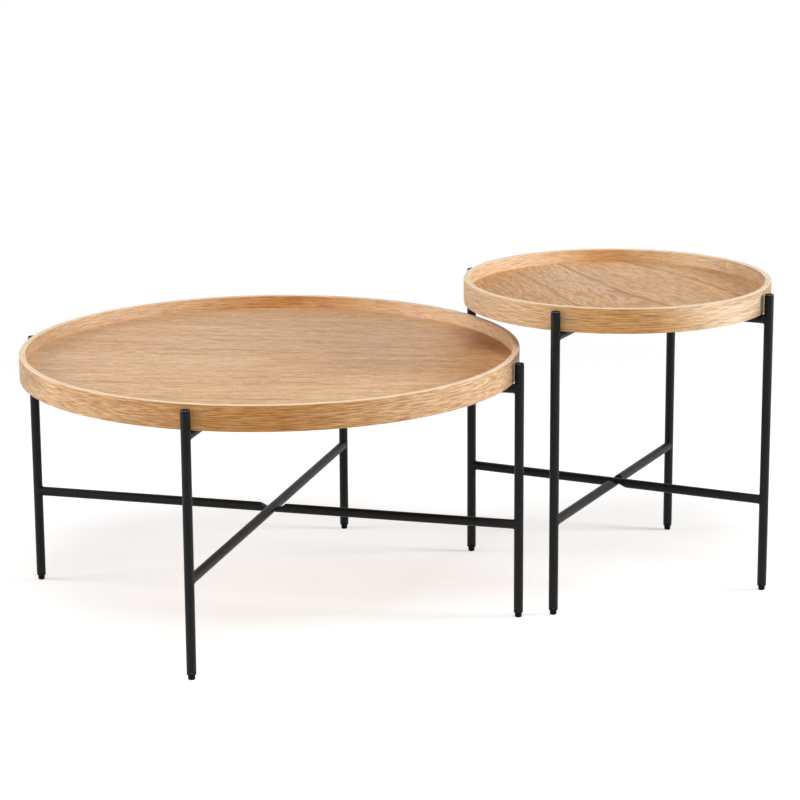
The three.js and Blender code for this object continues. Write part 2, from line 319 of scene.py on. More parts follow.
class Finish:
    """The nodes of a new material, or of a new world."""

    def __init__(self, name, collection=bpy.data.materials):
        self.owner = collection.new(name)
        self.owner.use_nodes = True
        self.tree = self.owner.node_tree
        self.tree.nodes.clear()

    def node(self, kind, settings=None, inputs=None, output=0):
        """Adds a node: its settings first, then a value or a link for each input that is named.

        It gives the wire of the chosen output. A node without outputs gives nothing.
        """
        added = self.tree.nodes.new(f"ShaderNode{kind}")
        for setting, value in (settings or {}).items():
            setattr(added, setting, value)
        for key, value in (inputs or {}).items():
            socket = pick(added.inputs, key)
            if isinstance(value, Wire):
                self.tree.links.new(value.socket, socket)
            else:
                socket.default_value = value
        return Wire(self, pick(added.outputs, output)) if len(added.outputs) else None

    def place(self, turn=0.0, centre=(0, 0, 0)):
        """Object coordinates, taken from a centre and turned back by an angle about Z."""
        inputs = {0: self.node("TexCoord", output="Object"), 1: centre, 2: (0, 0, turn)}
        return self.node("Mapping", {"vector_type": "TEXTURE"}, inputs)

    def parts(self, vector):
        """The X and the Y of a vector."""
        axes = self.node("SeparateXYZ", {}, {0: vector})
        return axes, axes.output("Y")

    def noise(self, vector, sizes, detail=2, roughness=0.5, distortion=0.0):
        """Noise with features of about the given sizes, mostly between 0.3 and 0.7.

        The sizes are those along X and Y, or along X, Y and Z, or one number for all three.
        """
        sizes = [sizes] * 3 if np.isscalar(sizes) else sizes
        steps = [1 / size for size in sizes] + [1.0] * (3 - len(sizes))
        measured = self.node("VectorMath", {"operation": "MULTIPLY"}, {0: vector, 1: steps})
        inputs = {"Vector": measured, "Scale": 1.0, "Detail": detail, "Roughness": roughness,
                  "Distortion": distortion}
        return self.node("TexNoise", {}, inputs)

    def noises(self, vector, table):
        """A noise for each row of a table, as attributes with the names of the rows."""
        return SimpleNamespace(**{name: self.noise(vector, *row) for name, row in table.items()})

    def rise(self, value, low, high):
        """0 below low, 1 above high and a smooth rise between them. With low above high it falls."""
        inputs = {"Value": value, 1: low, 2: high}
        return self.node("MapRange", {"interpolation_type": "SMOOTHSTEP"}, inputs)

    def mix(self, share, first, second, blend="MIX"):
        """A colour between two others, or one laid over the other by a blend mode."""
        settings = {"data_type": "RGBA", "blend_type": blend}
        inputs = {"Factor_Float": share, "A_Color": first, "B_Color": second}
        return self.node("Mix", settings, inputs, "Result_Color")

    def lay(self, under, marks):
        """Lays marks over a colour.

        Each mark is a noise, the rise that picks out its high or low places, the share of the mark's
        colour there, that colour and, if need be, a blend mode.
        """
        for noise, limits, share, colour, *blend in marks:
            under = self.mix(self.rise(noise, *limits) * share, under, colour, *blend)
        return under

    def seen_rays(self):
        """1 for rays from the camera and for those that were mirrored or let through, 0 for the rest."""
        paths = self.node("LightPath", output="Is Camera Ray")
        return paths + (paths.output("Is Glossy Ray") + paths.output("Is Transmission Ray"))

    def bump(self, height, distance, strength):
        """The surface normal of a relief: a height from 0 to 1 times a distance in metres."""
        return self.node("Bump", {}, {"Height": height, "Distance": distance, "Strength": strength})

    def coat(self, **inputs):
        """Ends the finish with one principled shader. An input's underscores stand for spaces."""
        named = {key.replace("_", " "): value for key, value in inputs.items()}
        return self.end(self.node("BsdfPrincipled", {}, named))

    def end(self, shader, output="OutputMaterial"):
        """Sends a shader to the surface and gives the material or the world."""
        self.node(output, {}, {"Surface": shader})
        return self.owner


def tone(red, green, blue):
    """A colour as read off a screen, 0 to 255, as a shader's linear values, by the sRGB curve."""
    screen = np.array([red, green, blue]) / 255
    linear = np.where(screen <= 0.04045, screen / 12.92, ((screen + 0.055) / 1.055) ** 2.4)
    return (*linear.tolist(), 1.0)


def tones(*colours):
    """A tone for each colour."""
    return [tone(*colour) for colour in colours]


print("mid grey as the shader takes it:", round(tone(128, 128, 128)[0], 3))

# %% [markdown]
# ## Bent oak
# The hoop of each tray is a strip of oak bent round and glued end to end, so its grain runs along the
# hoop. A pattern on Object coordinates would cut straight through it. The finish reads a UV map in metres
# instead: along the hoop, and across its section from the middle of the top edge. The wood is golden
# brown at the front and the back, and its tone drifts slowly. Towards the sides it turns pale, which is
# painted
# sheen: the pale gloss of the side lamps on the lacquer. At the far sides a greyer brown is painted
# shade.
# The painted sheen reaches farther on the right, and the narrow hoop has little painted shade on its
# left.

# %% The slow drift of a hoop's tone, with its painted sheen and shade
# Each look: the wood's own golden tone, a pale tone that is painted sheen from the side lamps, a greyer
# tone that is painted shade at the far sides, where that shade rises, how much of it the left keeps, and
# how far the painted sheen leans to the right.
HOOP_LOOKS = {
    "large": {"golden": (206, 142, 69), "blond": (216, 174, 130), "ashen": (174, 136, 93),
              "ashen_rise": (0.78, 0.98), "left_ashen": 1.0, "blond_lean": 0.11},
    "small": {"golden": (215, 161, 98), "blond": (237, 209, 175), "ashen": (150, 118, 83),
              "ashen_rise": (0.66, 0.92), "left_ashen": 0.3, "blond_lean": 0.19},
}
# The tone of the painted sheen inside the hoop, where the painted sheen rises as the hoop turns to the
# side, and how much sooner it rises inside.
INNER_SHEEN_TONE = tone(232, 199, 162)
SHEEN_RISE = (0.08, 0.86)
INNER_SHEEN_LEAD = 0.2


def sheen_and_shade_tone(finish, look, cosine, drift, inside):
    """The tone of a hoop without its marks, and the shares of its painted sheen and painted shade.

    The cosine of the angle round the hoop is 1 at the right of the set. Its size plus a slow drift turns
    the golden wood to a pale tone, earlier inside the hoop, and then to a greyer one. The pale tone is
    painted sheen, the pale gloss of the side lamps on the lacquer, and the greyer one is painted shade at
    the far sides. The painted sheen leans to the right outside and a little to the left inside. Each look
    sets how much of the painted shade the left keeps.
    """
    sideways = abs(cosine) + drift
    lean = cosine * look.blond_lean * (1 - inside * 1.5)
    blond = finish.rise(sideways + inside * INNER_SHEEN_LEAD + lean, *SHEEN_RISE)
    at_right = finish.rise(cosine, -0.5, 0.5)
    grey = finish.rise(sideways, *look.ashen_rise) * (1 - inside * 0.55)
    grey = grey * (at_right * (1 - look.left_ashen) + look.left_ashen)
    wood = finish.mix(blond, tone(*look.golden), finish.mix(inside, tone(*look.blond), INNER_SHEEN_TONE))
    return finish.mix(grey, wood, tone(*look.ashen)), blond, grey


print("hoop looks:", list(HOOP_LOOKS))

# %% [markdown]
# Over that tone, with its painted sheen and shade, lie the marks of the wood: streaks, threads, flecks
# like short stitches, and pores. Each is a noise drawn out along the hoop. The top edge is sanded through
# to the paler plies, with a fine glue line between each two, and a hairline marks where the strip's ends
# meet.

# %% The finish of a hoop
WOOD_SHINE = 0.35
PORE_DEPTH = 0.12 * MILLIMETRE
SANDED_HALF_WIDTH = 5.2 * MILLIMETRE
PLY = 2.0 * MILLIMETRE
HOOP_JOINT_ANGLE = math.radians(62)
HOOP_JOINT_HALF_WIDTH = 0.35 * MILLIMETRE
# For each mark: its length along the grain and its width across it, then the noise's detail, and its
# roughness and distortion where they are not 0.5 and 0.
HOOP_MARKS = {
    "drift": ((0.26, 0.030), 2),
    "streak": ((0.12, 0.0040), 2, 0.5, 0.3),
    "thread": ((0.060, 0.0015), 0, 0.5, 0.3),
    "fleck": ((0.026, 0.0013), 0, 0.5, 0.3),
    "pore": ((0.0060, 0.0005), 1),
}


def sanded_plies(finish, distance, thread):
    """The plies of the top edge. The distance from its middle goes to and fro between glue lines."""
    plies = finish.mix(finish.rise(thread, 0.40, 0.62) * 0.7, tone(246, 225, 199), tone(224, 195, 162))
    glue = finish.rise(distance.calculate("PINGPONG", PLY / 2), 0.30 * PLY, 0.46 * PLY)
    return finish.mix(glue * 0.30, plies, tone(170, 132, 98))


def bent_oak(table, number):
    """Oak whose grain follows the hoop, with a sanded top edge and a hairline at the joint."""
    finish = Finish(f"{table.prefix}_bent_oak")
    spot = finish.node("UVMap", {"uv_map": "grain"}, {}, "UV")
    along, across = finish.parts(spot)
    strip = finish.node("VectorMath", {"operation": "ADD"}, {0: spot, 1: (number, 0, number)})
    mark = finish.noises(strip, HOOP_MARKS)
    pore = finish.rise(mark.pore, 0.58, 0.68)
    angle = along * (1 / table.rim_radius) + (HOOP_JOINT_ANGLE + table.turn)
    inside = finish.rise(across, 0, 2 * SANDED_HALF_WIDTH)
    look = SimpleNamespace(**HOOP_LOOKS[table.prefix])
    cosine = angle.calculate("COSINE")
    # The wood's tone, the share of its painted sheen and the share of its painted shade.
    wood, blond, grey = sheen_and_shade_tone(finish, look, cosine, mark.drift * 0.6 - 0.3, inside)

    # The pale threads and flecks turn paler still in the painted sheen. Threads fade there and flecks
    # grow stronger, and flecks fade in the painted shade.
    lit = finish.mix(blond, tone(232, 182, 122), tone(246, 216, 176))
    threaded = 1 - blond * 0.6
    flecked = (blond * 0.22 + 0.66) * (1 - grey * 0.65) * (1 - inside * 0.30)
    wood = finish.lay(wood, [
        (mark.streak, (0.48, 0.62), 0.12, tone(206, 180, 158), "MULTIPLY"),
        (mark.thread, (0.51, 0.60), threaded * 0.36, lit),
        (mark.thread, (0.49, 0.40), threaded * 0.40, tone(188, 158, 136), "MULTIPLY"),
        (mark.fleck, (0.52, 0.60), flecked * 0.53, lit),
        (mark.fleck, (0.48, 0.39), flecked * 0.55, tone(190, 160, 136), "MULTIPLY"),
    ])
    wood = finish.mix(pore * 0.40, wood, tone(120, 78, 46))

    distance = abs(across)
    sanded = finish.rise(distance, SANDED_HALF_WIDTH, 0.88 * SANDED_HALF_WIDTH)
    wood = finish.mix(sanded * 0.94, wood, sanded_plies(finish, distance, mark.thread))
    half_round = math.pi * table.rim_radius
    joint = finish.rise(abs(along - half_round), half_round - HOOP_JOINT_HALF_WIDTH, half_round)
    wood = finish.mix(joint * 0.6, wood, tone(112, 74, 44))
    relief = 1 - pore * 0.7 - joint - finish.rise(mark.fleck, 0.50, 0.36) * 0.3
    return finish.coat(
        Base_Color=wood,
        Roughness=0.46 + mark.streak * 0.16 + sanded * 0.1,
        Specular_IOR_Level=WOOD_SHINE,
        Normal=finish.bump(relief, PORE_DEPTH, 0.6),
    )


bent_oaks = [bent_oak(table, number) for number, table in enumerate(tables)]
print("hoop finishes:", [material.name for material in bent_oaks])

# %% [markdown]
# The hoop could be a square ring with a bevel. Its edges are eased by hand on the real tray, more at the
# top than underneath, and a groove inside takes the tongue of the board, so the section is drawn as one
# closed outline of arcs and straight steps and turned round the tray's axis.

# %% The two hoops
SEAT_GAP = 0.3 * MILLIMETRE
HOOP_TOP_ROUND = 1.3 * MILLIMETRE
HOOP_FOOT_ROUND = 1.0 * MILLIMETRE
HOOP_SIDES = 320
ARC_STEPS = 8
EASE_STEPS = 3


def hoop_outline(table):
    """The section of a hoop as [radius, height], up its outside, over the top and down its inside."""
    outer = table.rim_radius
    inner = table.rim_inner
    groove = table.tongue_radius + SEAT_GAP
    high = table.rim_top - HOOP_TOP_ROUND
    low = table.rim_bottom + HOOP_FOOT_ROUND
    tongue_top = table.tongue_top + SEAT_GAP
    tongue_bottom = table.board_bottom - SEAT_GAP
    return np.concatenate([
        arc((outer - HOOP_FOOT_ROUND, low), HOOP_FOOT_ROUND, -90, 0, ARC_STEPS),
        arc((outer - HOOP_TOP_ROUND, high), HOOP_TOP_ROUND, 0, 90, ARC_STEPS),
        arc((inner + HOOP_TOP_ROUND, high), HOOP_TOP_ROUND, 90, 180, ARC_STEPS),
        [(inner, tongue_top), (groove, tongue_top), (groove, tongue_bottom),
         (inner + HOOP_FOOT_ROUND, tongue_bottom), (inner + HOOP_FOOT_ROUND, table.rim_bottom)],
    ])


def hoop_uv(table, outline):
    """A UV for each corner of each face, in metres: along the hoop, and across its section.

    Across is the length of the outline up to a point, less its length up to the middle of the top.
    """
    steps = np.linalg.norm(np.roll(outline, -1, axis=0) - outline, axis=1)
    lengths = np.concatenate([[0], np.cumsum(steps)])
    top_middle = lengths[:-1][outline[:, 1] > table.rim_top - SEAT_GAP].mean()
    across = np.repeat(lengths[:, None] - top_middle, HOOP_SIDES + 1, axis=1)
    along = np.linspace(0, math.tau * table.rim_radius, HOOP_SIDES + 1)
    grid = np.stack([np.broadcast_to(along, across.shape), across], axis=-1)
    return np.stack([grid[:-1, :-1], grid[:-1, 1:], grid[1:, 1:], grid[1:, :-1]], axis=2).reshape(-1, 2)


def add_hoop(table, finish):
    """The hoop of a tray, in place of the frame's faceted one."""
    outline = hoop_outline(table)
    surface = shell(lathe(outline, HOOP_SIDES, HOOP_JOINT_ANGLE), looped=True)
    corner_uv = hoop_uv(table, outline)
    return add_piece("hoop", surface, table, finish, ["tray_rim"], corner_uv)


describe([add_hoop(table, finish) for table, finish in zip(tables, bent_oaks)])

# %% [markdown]
# ## The boards
# The board of each tray is faced with oak veneer. Wave textures give stripes that look printed, so both
# boards lay noises over each other that are drawn out along the grain. What they share comes first.

# %% A finish for flat oak
# The marks of a board, in the same columns as those of a hoop. Only the rays lie across the grain.
BOARD_MARKS = {
    "band": ((0.60, 0.075), 2, 0.5, 0.2),
    "gold": ((0.42, 0.026), 2, 0.5, 0.2),
    "lively": ((0.30, 0.040), 1),
    "streak": ((0.17, 0.0085), 3, 0.6, 0.3),
    "line": ((0.055, 0.0026), 2, 0.6),
    "dash": ((0.020, 0.0030), 0, 0.5, 0.3),
    "ray": ((0.0042, 0.0085), 2, 0.6),
    "pore": ((0.011, 0.0007), 1),
}


def flat_oak(finish, spot, lines, board_tones, streaky, dashy):
    """Oak veneer, from a vector with X along the grain and Y across it.

    Its tones are pale, warm and dark wood. Streaky and dashy say how strong the long streaks and the
    short dashes are, and the map of lines from 0 to 1 adds the darkest wood.
    """
    pale, warm, dark = board_tones
    mark = finish.noises(spot, BOARD_MARKS)
    pore = finish.rise(mark.pore, 0.58, 0.70)
    lively = finish.rise(mark.lively, 0.38, 0.60) * 1.1 + 0.2
    wood = finish.mix(finish.rise(mark.band, 0.34, 0.66), pale, warm)
    wood = finish.lay(wood, [
        (mark.gold, (0.50, 0.62), 0.6, tone(206, 156, 104)),
        (mark.streak, (0.51, 0.60), lively * (0.52 * streaky), dark),
        (mark.streak, (0.46, 0.34), lively * (0.40 * streaky), pale),
        (mark.dash, (0.52, 0.61), 0.46 * dashy, dark),
        (mark.dash, (0.48, 0.39), 0.46 * dashy, pale),
        (mark.line, (0.53, 0.61), 0.50, dark),
        (mark.ray, (0.54, 0.68), 0.30, dark),
        (mark.ray, (0.46, 0.34), 0.30, pale),
    ])
    wood = finish.mix(lines, wood, tone(150, 98, 58))
    wood = finish.mix(pore * 0.25, wood, tone(126, 88, 58))
    relief = 1 - pore * 0.8 - finish.rise(mark.line, 0.50, 0.66) * 0.2
    return finish.coat(
        Base_Color=wood,
        Roughness=0.46 + mark.streak * 0.14 + pore * 0.1,
        Specular_IOR_Level=WOOD_SHINE,
        Normal=finish.bump(relief, PORE_DEPTH, 0.4),
    )


def tones_between(finish, share, first, second):
    """The tones that lie a share of the way from one set to another."""
    return [finish.mix(share, one, other) for one, other in zip(first, second)]


print("marks of a board:", list(BOARD_MARKS))

# %% [markdown]
# On the wide board the grain runs across the view in long soft streaks. Towards the right another set of
# tones is mixed in, darker and warmer, which is painted shade on that end of the board. Rare long streaks
# stand for growth lines that come to the surface.

# %% The finish of the wide board
WIDE_GRAIN_TURN = math.radians(-4)
WIDE_TONES = tones((228, 191, 154), (217, 176, 134), (183, 137, 94))
WIDE_RIGHT_SHADE_TONES = tones((221, 174, 127), (208, 155, 104), (174, 121, 74))


def wide_board_oak(table):
    """Straight streaks across the view, with a few dark growth lines."""
    finish = Finish("wide_board_oak")
    spot = finish.place(WIDE_GRAIN_TURN, tuple(table.middle))
    growth = finish.noise(spot, (0.26, 0.0050), 1, 0.5, 0.2)
    zone = finish.rise(finish.noise(spot, (0.5, 0.10), 1), 0.46, 0.60)
    lines = finish.rise(growth, 0.60, 0.72) * zone * 0.5
    # Towards the right the tones turn darker and warmer: painted shade on that end of the board.
    right = finish.rise(finish.parts(spot)[0], 0.20, 0.34)
    board_tones = tones_between(finish, right, WIDE_TONES, WIDE_RIGHT_SHADE_TONES)
    return flat_oak(finish, spot, lines, board_tones, streaky=1.0, dashy=1.0)


wide_oak = wide_board_oak(tables[0])
print("finish:", wide_oak.name)

# %% [markdown]
# On the narrow board the grain runs away from the viewer, and its lines swing apart round a paler heart.
# Lines could be drawn as curves over a straight grain, but the small marks would not follow them. So the
# place at which the noises and the lines are read is bent, and all of them swing together.

# %% The finish of the narrow board
NARROW_GRAIN_TURN = math.radians(-63)
NARROW_FRONT_TONES = tones((214, 179, 142), (200, 157, 114), (168, 124, 82))
NARROW_BACK_LIT_TONES = tones((232, 196, 156), (220, 176, 130), (186, 140, 96))
NARROW_SIDE_TONES = tones((216, 171, 122), (203, 152, 100), (170, 118, 70))
# The place of each dark line across the grain, and its strength.
HEART_LINES = {"left": (-0.087, 0.56), "middle": (0.002, 0.80), "right": (0.159, 0.84)}
HEART_LINE_SHARP = 0.0035
HEART_LINE_SOFT = -0.010
HEART_BEND_PLACE = 0.02
HEART_BEND = 0.62
HEART_BEND_FALL = 7.3
SPLAY_PLACE = -0.10
SPLAY = 0.18


def narrow_board_oak(table):
    """Lines that run from back left to front right and swing apart round the board's paler heart.

    The noise is read at a bent place across the grain. On the heart's side that is y less a parabola,
    (bend - fall y) (x - place) squared, and on the left it is y plus a splay times x less its place.
    """
    finish = Finish("narrow_board_oak")
    face = table.middle + np.array([0, 0, table.board_top])
    along, across = finish.parts(finish.place(NARROW_GRAIN_TURN, tuple(face)))
    heart = finish.rise(across, -0.06, 0.01)
    from_bend = along - HEART_BEND_PLACE
    swing = (HEART_BEND - across * HEART_BEND_FALL) * from_bend * from_bend
    splay = (along - SPLAY_PLACE) * SPLAY
    bent = across - heart * swing + (1 - heart) * splay
    spot = finish.node("CombineXYZ", {}, {0: along, 1: bent, 2: 0.4})
    waver = finish.noise(spot, (0.12, 0.05)) * 0.016 - 0.008
    broken = finish.rise(finish.noise(spot, (0.07, 0.03), 1), 0.28, 0.46)
    lines = 0
    for line_place, strength in HEART_LINES.values():
        off = bent + waver - line_place
        line = finish.rise(off, HEART_LINE_SHARP, 0.0) * finish.rise(off, HEART_LINE_SOFT, 0.0)
        lines = line * strength * broken + lines

    # Darker and warmer towards the left and right ends. Paler towards the back: painted light that evens
    # out the shade that the back of the hoop leaves on the board.
    cosine, sine = math.cos(NARROW_GRAIN_TURN), math.sin(NARROW_GRAIN_TURN)
    sides = finish.rise(abs(along * cosine - across * sine), 0.09, 0.19)
    back = finish.rise(along * sine + across * cosine, 0.06, 0.20)
    board_tones = tones_between(finish, back, NARROW_FRONT_TONES, NARROW_BACK_LIT_TONES)
    board_tones = tones_between(finish, sides, board_tones, NARROW_SIDE_TONES)
    return flat_oak(finish, spot, lines, board_tones, streaky=0.7, dashy=1.3)


board_oaks = [wide_oak, narrow_board_oak(tables[1])]
print("board finishes:", [material.name for material in board_oaks])

# %% [markdown]
# A board is a turned disc too. Its face ends just short of the hoop, which leaves the fine dark slit seen
# at the foot of the inner wall, and a tongue lower down reaches into the hoop's groove.

# %% The two boards
BOARD_SIDES = 320
BOARD_EASE = 0.25 * MILLIMETRE
HUB_SHARE = 0.05


def add_board(table, finish):
    """The board of a tray, turned from the middle of its underside to the middle of its face."""
    face = table.rim_inner - SEAT_GAP
    hub = HUB_SHARE * face
    outline = np.concatenate([
        [(hub, table.board_bottom), (table.tongue_radius, table.board_bottom),
         (table.tongue_radius, table.tongue_top), (face, table.tongue_top)],
        arc((face - BOARD_EASE, table.board_top - BOARD_EASE), BOARD_EASE, 0, 90, EASE_STEPS),
        [(hub, table.board_top)],
    ])
    surface = shell(lathe(outline, BOARD_SIDES))
    return add_piece("board", surface, table, finish, ["tray_panel"])


describe([add_board(table, finish) for table, finish in zip(tables, board_oaks)])

# %% [markdown]
# ## Black steel
# The frames are steel tube in a black powder coat. The coat is baked, so it flows into a faint orange
# peel, satin and slightly uneven in its shine. Plain black paint would hide the shape of the tubes: this
# black is a very dark cool grey, and the pale floor lightens the side of each tube that looks down. The
# plastic of the caps and feet is duller, and the screws are zinc-plated. All three finishes could share
# one set of noises, but the size of its marks is what tells a coat from moulded or plated stuff.

# %% Finishes for the coated steel, the plastic and the screws
BLACK_SHINE = 0.18
# For each mark: its size, or its sizes along X, Y and Z, then the noise's detail.
COAT_MARKS = {"cloud": (40 * MILLIMETRE, 2), "peel": (1.6 * MILLIMETRE, 2),
              "speck": (0.7 * MILLIMETRE, 1)}
PLASTIC_MARKS = {"cloud": (6 * MILLIMETRE, 1), "leather": (0.5 * MILLIMETRE, 2)}
ZINC_MARKS = {"cloud": (3 * MILLIMETRE, 2),
              "drawn": ((0.2 * MILLIMETRE, 0.2 * MILLIMETRE, 4 * MILLIMETRE), 2)}
PEEL_DEPTH = 0.05 * MILLIMETRE
LEATHER_DEPTH = 0.03 * MILLIMETRE
DRAWN_DEPTH = 0.02 * MILLIMETRE


def clouded(finish, cloud, first, second):
    """A tone that wanders between two others with a noise."""
    return finish.mix(finish.rise(cloud, 0.3, 0.7), tone(*first), tone(*second))


def powder_coat():
    """Satin near-black with an orange peel a millimetre or two across."""
    finish = Finish("powder_coat")
    mark = finish.noises(finish.place(), COAT_MARKS)
    black = clouded(finish, mark.cloud, (11, 12, 12), (16, 17, 16))
    speck = finish.rise(mark.speck, 0.62, 0.74)
    return finish.coat(
        Base_Color=finish.mix(speck * 0.25, black, tone(50, 52, 52)),
        Roughness=0.36 + mark.cloud * 0.14 + mark.peel * 0.06,
        Specular_IOR_Level=BLACK_SHINE,
        Normal=finish.bump(mark.peel, PEEL_DEPTH, 0.5),
    )


def black_plastic():
    """Moulded black plastic: dull, and glossy only where a cap's edge turns from its top to its side."""
    finish = Finish("black_plastic")
    mark = finish.noises(finish.place(), PLASTIC_MARKS)
    upward = finish.node("SeparateXYZ", {}, {0: finish.node("NewGeometry", output="Normal")}, "Z")
    polished = finish.rise(upward, 0.97, 0.70) * finish.rise(upward, 0.05, 0.20)
    return finish.coat(
        Base_Color=clouded(finish, mark.cloud, (13, 13, 14), (19, 19, 20)),
        Roughness=0.52 + mark.leather * 0.16,
        Specular_IOR_Level=BLACK_SHINE / 2,
        Coat_Weight=polished * 0.8,
        Coat_Roughness=0.10,
        Normal=finish.bump(mark.leather, LEATHER_DEPTH, 0.5),
    )


def zinc_plate():
    """Bright zinc with a faint cloudiness and fine drawing lines."""
    finish = Finish("zinc_plate")
    mark = finish.noises(finish.place(), ZINC_MARKS)
    return finish.coat(
        Base_Color=clouded(finish, mark.cloud, (186, 188, 190), (206, 206, 202)),
        Metallic=1.0,
        Roughness=0.24 + mark.cloud * 0.16 + mark.drawn * 0.08,
        Normal=finish.bump(mark.drawn, DRAWN_DEPTH, 0.4),
    )


steel, plastic, zinc = powder_coat(), black_plastic(), zinc_plate()
print("frame finishes:", steel.name, plastic.name, zinc.name)

# %% [markdown]
# ## Legs, caps and feet
# A leg is a straight tube that stands just outside the hoop and ends below its top edge. A plastic plug
# closes it, with a fine groove where the plug's flange meets the steel, and a short foot with a collar
# and a neck closes it at the floor. All three are turned, and each has its own outline.

# %% The legs and their ends
TUBE_SIDES = 48
TUBE_EASE = 0.6 * MILLIMETRE
CAP_ROUND = 2.0 * MILLIMETRE
CAP_CROWN = 0.25 * MILLIMETRE
# Two points of the crown: the share of the radius, and the share of the crown's height below its top.
CAP_CROWN_POINTS = [(0.55, 0.3), (0.2, 0.0)]
CAP_GROOVE = 0.45 * MILLIMETRE
FOOT_ROUND = 1.8 * MILLIMETRE
FOOT_COLLAR = 4.2 * MILLIMETRE
FOOT_COLLAR_ROUND = 1.6 * MILLIMETRE
FOOT_NECK_RADIUS = 5.7 * MILLIMETRE
# Where the arc of the tip ends and that of the collar begins, with the neck between them.
FOOT_NECK_ANGLES = (-8, -80)
FOOT_TIP_RADIUS = 5.4 * MILLIMETRE
FOOT_HUB_SHARE = 0.3
STUB_PLAY = 0.3 * MILLIMETRE


def leg_outline(table):
    """A tube's wall as [radius, height]: the outside with eased ends, and the bore."""
    outer, bore = table.tube_radius, table.bore_radius
    low, high = table.leg_bottom, table.leg_top
    return np.concatenate([
        [(bore, low)],
        arc((outer - TUBE_EASE, low + TUBE_EASE), TUBE_EASE, -90, 0, EASE_STEPS),
        arc((outer - TUBE_EASE, high - TUBE_EASE), TUBE_EASE, 0, 90, EASE_STEPS),
        [(bore, high)],
    ])


def cap_outline(table):
    """The plug: a stub inside the tube, a groove, and a flange that rounds over to a slight crown."""
    outer, stub = table.tube_radius, table.bore_radius - STUB_PLAY
    seat = table.leg_top + STUB_PLAY
    shoulder = table.cap_top - CAP_CROWN - CAP_ROUND
    return np.concatenate([
        [(stub, table.cap_bottom), (stub, seat), (outer - CAP_GROOVE, seat),
         (outer - CAP_GROOVE, seat + CAP_GROOVE), (outer, seat + 2 * CAP_GROOVE)],
        arc((outer - CAP_ROUND, shoulder), CAP_ROUND, 0, 90, ARC_STEPS),
        [(share * outer, table.cap_top - drop * CAP_CROWN) for share, drop in CAP_CROWN_POINTS],
    ])


def foot_outline(table):
    """The foot: a rounded tip on the floor, a neck, a collar as wide as the tube, and a stub in it."""
    outer, stub = table.tube_radius, table.bore_radius - STUB_PLAY
    shoulder = table.leg_bottom - STUB_PLAY
    collar = shoulder - FOOT_COLLAR
    tip_round = (FOOT_TIP_RADIUS - FOOT_ROUND, FOOT_ROUND)
    collar_round = (outer - FOOT_COLLAR_ROUND, collar + FOOT_COLLAR_ROUND)
    return np.concatenate([
        [(FOOT_HUB_SHARE * FOOT_TIP_RADIUS, 0)],
        arc(tip_round, FOOT_ROUND, -90, FOOT_NECK_ANGLES[0], ARC_STEPS),
        [(FOOT_NECK_RADIUS, collar)],
        arc(collar_round, FOOT_COLLAR_ROUND, FOOT_NECK_ANGLES[1], 0, ARC_STEPS),
        [(outer, shoulder - TUBE_EASE), (outer - TUBE_EASE, shoulder),
         (stub, shoulder), (stub, table.foot_top)],
    ])


def at_side(points, reach, number):
    """Points round the Z axis, moved out along X by a reach and then on by a number of quarter turns."""
    return turned(points + np.array([reach, 0, 0]), number * math.pi / 2)


def add_leg(table, number, side):
    """A leg with its cap and its foot."""
    outlines = (leg_outline(table), cap_outline(table), foot_outline(table))
    rings = [at_side(lathe(outline, TUBE_SIDES), table.leg_reach, number) for outline in outlines]
    leg, cap, foot = shell(rings[0], looped=True), shell(rings[1]), shell(rings[2])
    return [
        add_piece(f"tube_leg_{side}", leg, table, steel, [f"leg_{side}"]),
        add_piece(f"cap_{side}", cap, table, plastic, [f"leg_cap_{side}"]),
        add_piece(f"tip_{side}", foot, table, plastic, [f"foot_{side}"]),
    ]


legs = [add_leg(table, number, side) for table in tables for number, side in enumerate(SIDES)]
describe(legs[0])
print("legs:", len(legs))

# %% [markdown]
# ## Crossed tubes
# Two stretchers cross low down and two bars cross under the tray. Where they cross, the upper side of one
# tube and the lower side of the other are pressed flat, so that both keep one level. The ends are coped
# to fit round the legs. A boolean could cut both shapes, but it leaves knife edges. Here every ring of
# the tube is bent to its place: a soft minimum presses it, and the leg's own circle gives the cope.

# %% Press and cope a tube
LAP_SIDE_CLEARANCE = 1.5 * MILLIMETRE
SHOULDER_LENGTH = 19.0 * MILLIMETRE
LAP_GAP = 0.3 * MILLIMETRE
LAP_EASE = 0.4 * MILLIMETRE
FLANK_SWELL_SHARE = 0.06
COPE_BITE = 0.3 * MILLIMETRE
COPE_STRAIGHT = 2.0 * MILLIMETRE
EASES_ABOVE = 6
END_RING_SHARES = (1, 0.5)
FLAT_STATIONS = 10
SHOULDER_STATIONS = 17
PLAIN_STATIONS = 12


def stations_along(table):
    """Places along a tube from its middle, close together where the pressed shoulders rise."""
    radius = table.tube_radius
    start = radius + LAP_SIDE_CLEARANCE
    flat = np.linspace(0, start, FLAT_STATIONS)
    shoulder = start + SHOULDER_LENGTH * np.linspace(0, 1, SHOULDER_STATIONS)
    plain = np.linspace(shoulder[-1], table.leg_reach - radius - COPE_STRAIGHT, PLAIN_STATIONS)
    half = np.concatenate([flat[:-1], shoulder, plain[1:]])
    return np.concatenate([-half[:0:-1], half])


